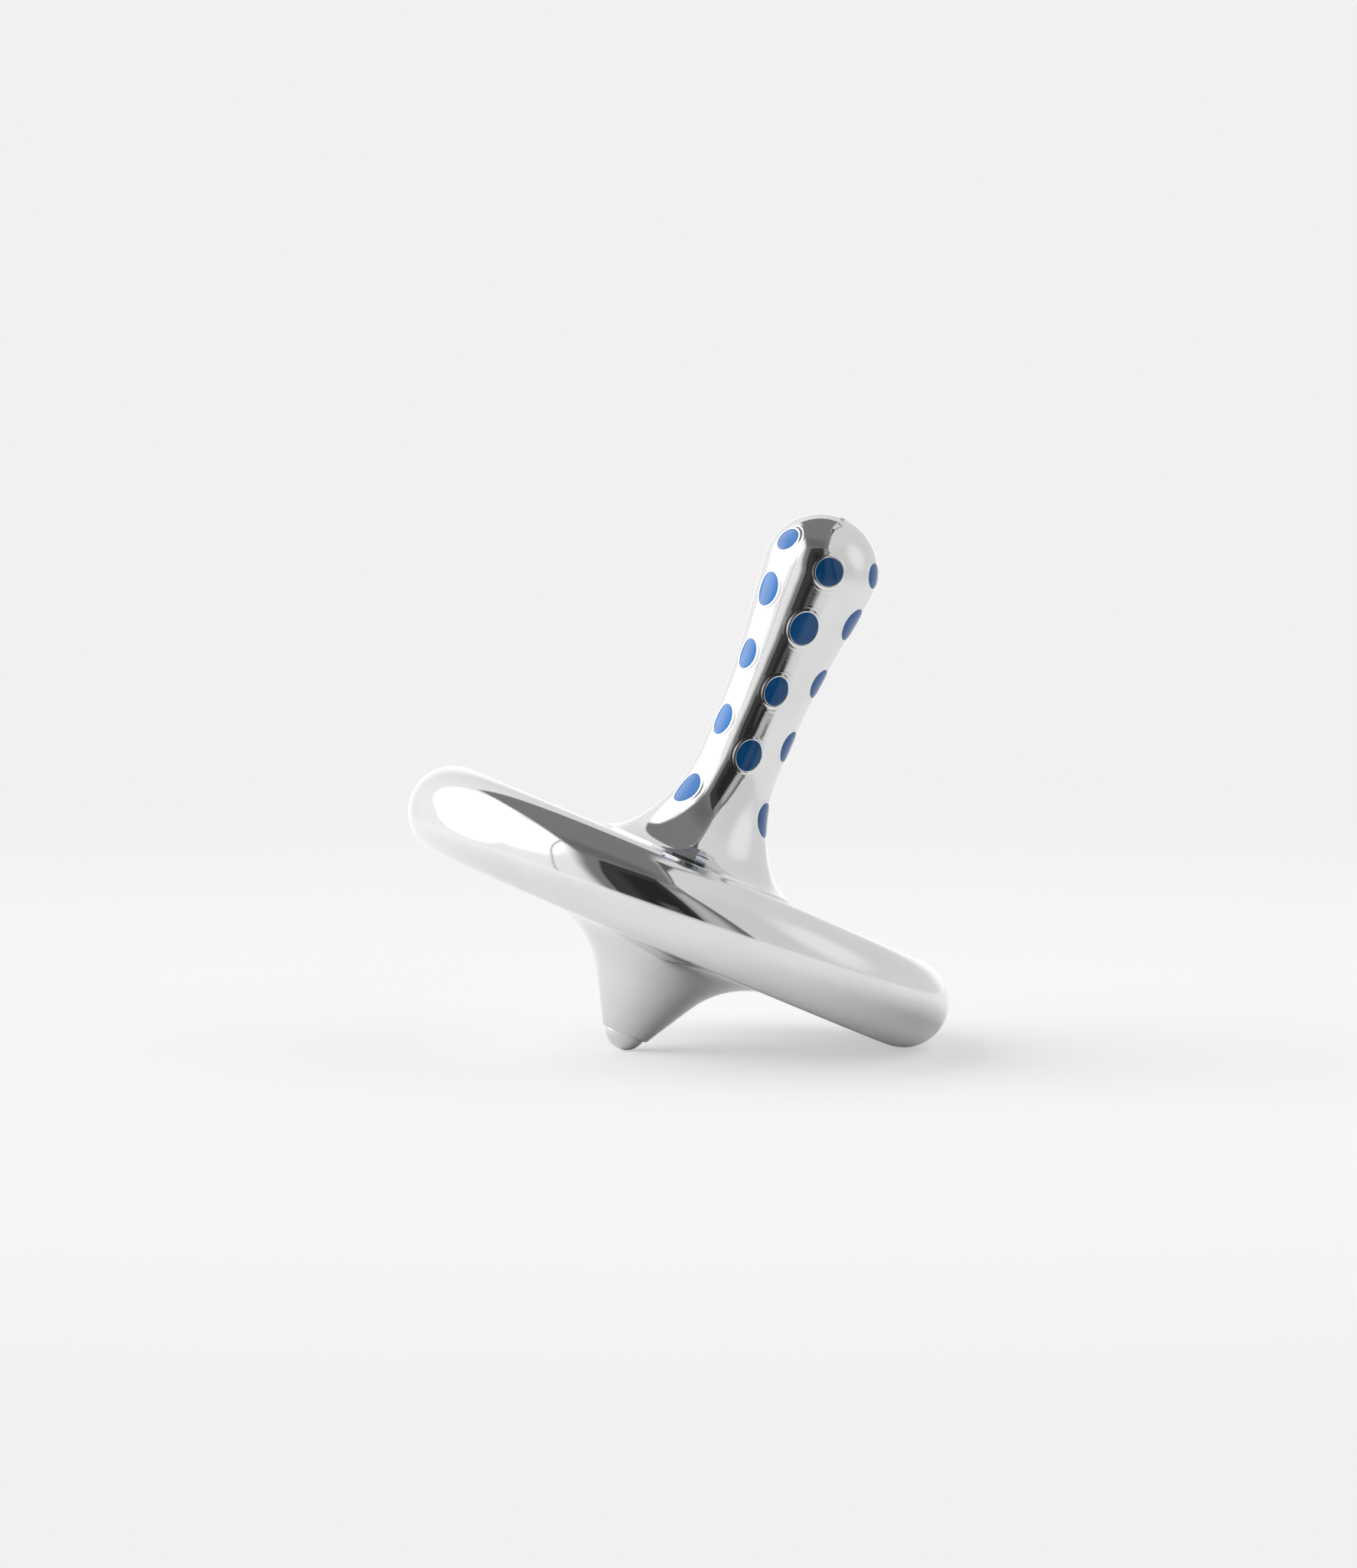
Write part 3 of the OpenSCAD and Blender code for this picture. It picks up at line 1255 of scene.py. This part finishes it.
@dataclass(frozen=True)
class LightTent:
    """White light tent round the top: sheets at the sides, a grey ceiling and the open front.

    All angles are in degrees, as the spinning top sees them, with azimuth zero towards the camera.
    """

    camera: Camera
    backdrop_level: float = 0.88
    base_level: float = 0.82
    strength: float = 1.0
    glows: tuple[Glow, ...] = (
        Glow((-100, 22), 22, 86, 1.13),
        Glow((-118, 36), 6, 30, 2.9),
        Glow((-84, 36), 8, 33, 2.4),
        Glow((-106, 16), 4, 25, 4.0),
        Glow((45, 20), 8, 40, 0.76),
        Glow((84, 22), 3, 26, 1.0),
        Glow((178, -6), 3, 30, 1.16),
        Glow((135, 30), 5, 30, 0.80),
    )
    panels: tuple[Panel, ...] = (
        # Grey ceiling seen between the side sheets, in three parts that overlap, and its darker front
        Panel(((-158.0, 41.9), (157.2, 43.5), (130.1, 70.5), (-135.9, 60.9)), 0.24, 1.7),
        Panel(((-147.2, 54.5), (150.8, 60.2), (66.0, 73.5), (-79.3, 66.6)), 0.24, 1.7),
        Panel(((-103.9, 67.4), (110.3, 73.9), (18.4, 47.8), (-34.9, 43.6), (-55.0, 58.6)), 0.24, 1.7),
        Panel(((-60.0, 66.0), (20.0, 64.0), (14.0, 46.0), (-34.9, 46.0)), 0.17, 7.0),
        # Soft end of the left sheet
        Panel(((-38.5, -22.0), (-40.0, 20.0), (-43.5, 50.0), (12.0, 50.0), (12.0, -22.0)), 0.235, 5.0),
        # Open front: whole, its darkest part and its lighter foot
        Panel(((-30.0, -22.0), (-29.4, 24.0), (-27.0, 48.5), (8.8, 50.8), (9.4, -22.0)), 0.056, 0.9),
        Panel(((-17.0, -16.0), (-17.0, 40.0), (6.0, 43.0), (6.6, -16.0)), 0.026, 4.5),
        Panel(((-9.0, -12.0), (-8.0, 5.0), (-1.0, 5.0), (0.0, -12.0)), 0.11, 3.0),
        # Grey strip beside the opening
        Panel(((9.0, -22.0), (8.6, 47.5), (20.5, 47.5), (32.5, -22.0)), 0.30, 1.1),
        Panel(((11.0, -22.0), (11.0, 36.0), (17.5, 38.0), (25.0, -22.0)), 0.55, 3.5),
    )
    seams: tuple[Seam, ...] = (
        # Dark line where the right sheet ends, from the ceiling to the floor
        Seam(((127.1, 67.9, 2.0), (101.9, 72.5, 1.4), (65.8, 72.4, 0.6), (21.0, 50.5, 0.4)), 0.13, 0.7),
        Seam(((21.8, 51.0, 0.5), (20.4, 40.0, 0.9), (24.2, 21.0, 1.8), (31.5, -18.0, 3.2)), 0.19, 1.3),
        # Fold and shadow at the rear corner of the right sheet
        Seam(((125.1, 66.2, 1.2), (140.0, 53.5, 0.6), (149.1, 47.2, 0.9)), 0.38, 1.5),
        Seam(((149.5, 50.3, 0.4), (153.4, 46.1, 0.9)), 0.13, 1.0),
        # Seams of the rear and of the left sheet
        Seam(((175.8, 3.0, 0.4), (167.6, 24.0, 0.8), (162.0, 31.0, 0.5)), 0.32, 0.8),
        Seam(((-58.4, -6.0, 0.6), (-55.3, 16.0, 0.5), (-54.8, 57.0, 0.6)), 0.55, 0.7),
    )

    def direction(self, place: Point) -> Vector:
        """Finds the direction of an azimuth and elevation.

        Args:
            place: azimuth and elevation.

        Returns:
            The direction, of length one.
        """
        azimuth, elevation = map(math.radians, place)
        toward = Vector((self.camera.back.x, self.camera.back.y, 0)).normalized()
        level = math.cos(azimuth) * toward + math.sin(azimuth) * self.camera.right
        return math.cos(elevation) * level + Vector((0, 0, math.sin(elevation)))

    @staticmethod
    def depth(nodes: Nodes, look: object, corners: list[Vector]) -> bpy.types.NodeSocket:
        """Adds the nodes that tell how deep a look direction lies between corners.

        Args:
            nodes: the world's tree.
            look: the socket with the look direction.
            corners: directions of the corners, in order round a shape without hollows.

        Returns:
            The sine of the angle to the nearest edge, below zero outside.
        """
        middle = sum(corners, Vector())
        depth = None
        for first, second in zip(corners, corners[1:] + corners[:1]):
            normal = first.cross(second).normalized()
            normal *= math.copysign(1, normal.dot(middle))
            side = nodes.vector("DOT_PRODUCT", look, normal).outputs["Value"]
            depth = side if depth is None else nodes.math("MINIMUM", depth, side)
        return depth

    def share(self, nodes: Nodes, look: object, sheet: Panel | Seam) -> bpy.types.NodeSocket:
        """Adds the nodes that tell how much of a look direction falls on a panel or seam.

        Args:
            nodes: the world's tree.
            look: the socket with the look direction.
            sheet: the panel or seam.

        Returns:
            The share, from 0 to 1.
        """
        soft = math.sin(math.radians(sheet.softness))
        if isinstance(sheet, Panel):
            depth = self.depth(nodes, look, [self.direction(corner) for corner in sheet.corners])
        else:
            depth = self.along(nodes, look, sheet)
        return nodes.ease(depth, -soft, soft)

    def along(self, nodes: Nodes, look: object, seam: Seam) -> bpy.types.NodeSocket:
        """Adds the nodes that tell how deep a look direction lies in a seam.

        Args:
            nodes: the world's tree.
            look: the socket with the look direction.
            seam: the seam.

        Returns:
            The sine of the angle to the nearest edge, below zero outside.
        """
        depth = None
        for first, second in zip(seam.path, seam.path[1:]):
            start, end = self.direction(first[:2]), self.direction(second[:2])
            overlap = math.radians(seam.softness) * (end - start).normalized()
            start, end = (start - overlap).normalized(), (end + overlap).normalized()
            side = start.cross(end).normalized()
            out, back = math.tan(math.radians(first[2])) * side, math.tan(math.radians(second[2])) * side
            part = self.depth(nodes, look, [start + out, end + back, end - back, start - out])
            depth = part if depth is None else nodes.math("MAXIMUM", depth, part)
        return depth

    def build(self) -> None:
        """Makes the world that lights the top and shows in its metal, and a plain backdrop."""
        world = bpy.data.worlds.new("light_tent")
        bpy.context.scene.world = world
        world.use_nodes = True
        nodes = Nodes(world.node_tree)
        coordinates = nodes.add("ShaderNodeTexCoord").outputs["Generated"]
        look = nodes.vector("NORMALIZE", coordinates).outputs[0]
        level = self.base_level
        for glow in self.glows:
            nearness = nodes.vector("DOT_PRODUCT", look, self.direction(glow.centre)).outputs["Value"]
            edge, full = math.cos(math.radians(glow.outer)), math.cos(math.radians(glow.inner))
            level = nodes.blend(nodes.ease(nearness, edge, full), level, glow.level)
        for sheet in (*self.panels, *self.seams):
            level = nodes.blend(self.share(nodes, look, sheet), level, sheet.level)
        direct = nodes.add("ShaderNodeLightPath").outputs["Is Camera Ray"]
        shader = nodes.add("ShaderNodeBackground", {
            "Color": nodes.blend(direct, level, self.backdrop_level),
            "Strength": self.strength,
        })
        nodes.add("ShaderNodeOutputWorld", {"Surface": shader.outputs[0]})


@dataclass(frozen=True)
class Floor:
    """Plain pale floor that the top lies on, which passes into the backdrop away from the top. Seen in the
    metal it has a painted glow, brighter to the left, which is left out near the top's shadow.
    """

    camera: Camera
    size: float = 2.0
    colour: Colour = (0.9, 0.9, 0.9)
    shade_share: float = 0.985
    clouds: Point = (12.0, 2.0)
    fade: Point = (0.07, 0.26)
    camera_share: float = 0.4
    camera_level: float = 1.09
    # Painted glow of the floor as the metal mirrors it: none round this centre, where the top's shadow
    # lies, a share of it further out, and stronger to the left, as if lit by the left sheet
    painted_glow_gap_centre: float = 0.016
    painted_glow_full_share: float = 0.24
    painted_glow_reach: Point = (0.012, 0.04)
    painted_glow_level: float = 1.4
    painted_glow_left_level: float = 2.3
    painted_glow_left_reach: Point = (0.0, 0.12)

    def build(self) -> None:
        """Adds the floor and its matt paper finish, evenly bright when seen straight on, with a painted
        glow when seen in the metal.
        """
        clear_selection()
        bpy.ops.mesh.primitive_plane_add(size=self.size)
        floor = name_active("pale_floor")
        material, nodes = new_material("matt_paper")
        place = nodes.add("ShaderNodeTexCoord").outputs["Object"]
        cloud = nodes.noise(place, *self.clouds)
        shade = tuple(channel * self.shade_share for channel in self.colour)
        matt = nodes.add("ShaderNodeBsdfPrincipled", {
            "Base Color": nodes.blend_colour(cloud, (*self.colour, 1), (*shade, 1)),
            "Roughness": 1.0,
            "Specular IOR Level": 0.0,
        })
        rays = nodes.add("ShaderNodeLightPath").outputs
        # Painted light: glossy and transmission rays see the floor glow, more strongly to the left
        mirrored = nodes.math("MAXIMUM", rays["Is Glossy Ray"], rays["Is Transmission Ray"])
        leftward = nodes.vector("DOT_PRODUCT", place, -self.camera.right).outputs["Value"]
        painted_glow_level = nodes.ease(leftward, *self.painted_glow_left_reach, self.painted_glow_level, self.painted_glow_left_level)
        strength = nodes.blend(mirrored, self.camera_level, painted_glow_level)
        plain = nodes.add("ShaderNodeEmission", {"Strength": strength})
        distance = nodes.vector("LENGTH", place).outputs["Value"]
        # The painted glow is left out near the top, so that only the rendered shadow shows there
        from_shade = nodes.vector("DISTANCE", place, (self.painted_glow_gap_centre, 0, 0)).outputs["Value"]
        painted_glow_share = nodes.ease(from_shade, *self.painted_glow_reach, 0.0, self.painted_glow_full_share)
        share = nodes.math("ADD", nodes.math("MULTIPLY", rays["Is Camera Ray"], self.camera_share),
                           nodes.math("MULTIPLY", mirrored, painted_glow_share))
        paper = nodes.add("ShaderNodeMixShader", {0: share, 1: matt.outputs[0], 2: plain.outputs[0]})
        far = nodes.ease(distance, *self.fade)
        clear = nodes.add("ShaderNodeBsdfTransparent")
        whole = nodes.add("ShaderNodeMixShader", {0: far, 1: paper.outputs[0], 2: clear.outputs[0]})
        nodes.add("ShaderNodeOutputMaterial", {"Surface": whole.outputs[0]})
        floor.data.materials.append(material)


def main() -> None:
    """Builds the studio and the pieces of the top in order."""
    logging.basicConfig(level=logging.INFO, format="%(name)s: %(message)s")
    bpy.context.scene.view_settings.view_transform = "Standard"
    camera = Camera()
    camera.build()
    LightTent(camera).build()
    Floor(camera).build()

    stud = Stud()
    ball = PivotBall()
    cone = PivotCone(ball, stud)
    wheel = Wheel(stud, cone.wheel_z)
    lean = Lean(wheel.rim_centre_r, wheel.underside_z + wheel.rim_r, wheel.rim_r, ball.radius)
    shape = StemShape(wheel.top_z, stud)
    stem = Stem(shape, DotPattern(shape.head_h), DotFitter(shape))

    bright, dull = (0.75, 0.75, 0.755), (0.72, 0.72, 0.725)
    turned_mirror = Metal("mirror_polished_metal", bright, dull, (0.03, 0.06), ripple=0.04e-6, wave=0.3e-6,
                          lean=lean).material()
    hand_mirror = Metal("hand_polished_metal", bright, dull, (0.03, 0.07), ripple=3e-6, wave=14e-6,
                        lean=lean, calm=(18 * MM, 27 * MM)).material()
    ball_steel = Metal("polished_ball_steel", (0.8, 0.8, 0.81), (0.76, 0.76, 0.77), (0.04, 0.09),
                       ripple=0.1e-6, wave=0.3e-6, lean=lean).material()
    stud_steel = Metal("turned_stud_steel", (0.56, 0.56, 0.57), (0.48, 0.48, 0.49), (0.25, 0.4),
                       ripple=8e-6, wave=2e-6, lean=lean)
    enamel = Enamel("blue_enamel", (0.004, 0.074, 0.23), (0.009, 0.096, 0.27), (0.44, 0.56),
                    ripple=1.2e-6).material()

    stud.dress(stud_steel)
    finish_piece(ball.build(lean), "pivot_ball", ball_steel)
    finish_piece(cone.build(lean), "pivot_cone", turned_mirror)
    finish_piece(wheel.build(lean), "wheel", turned_mirror)
    handle, fills = stem.build(lean)
    finish_piece(handle, "stem", hand_mirror)
    for node, fill in fills.items():
        finish_piece(fill, node, enamel)


if __name__ == "__main__":
    main()
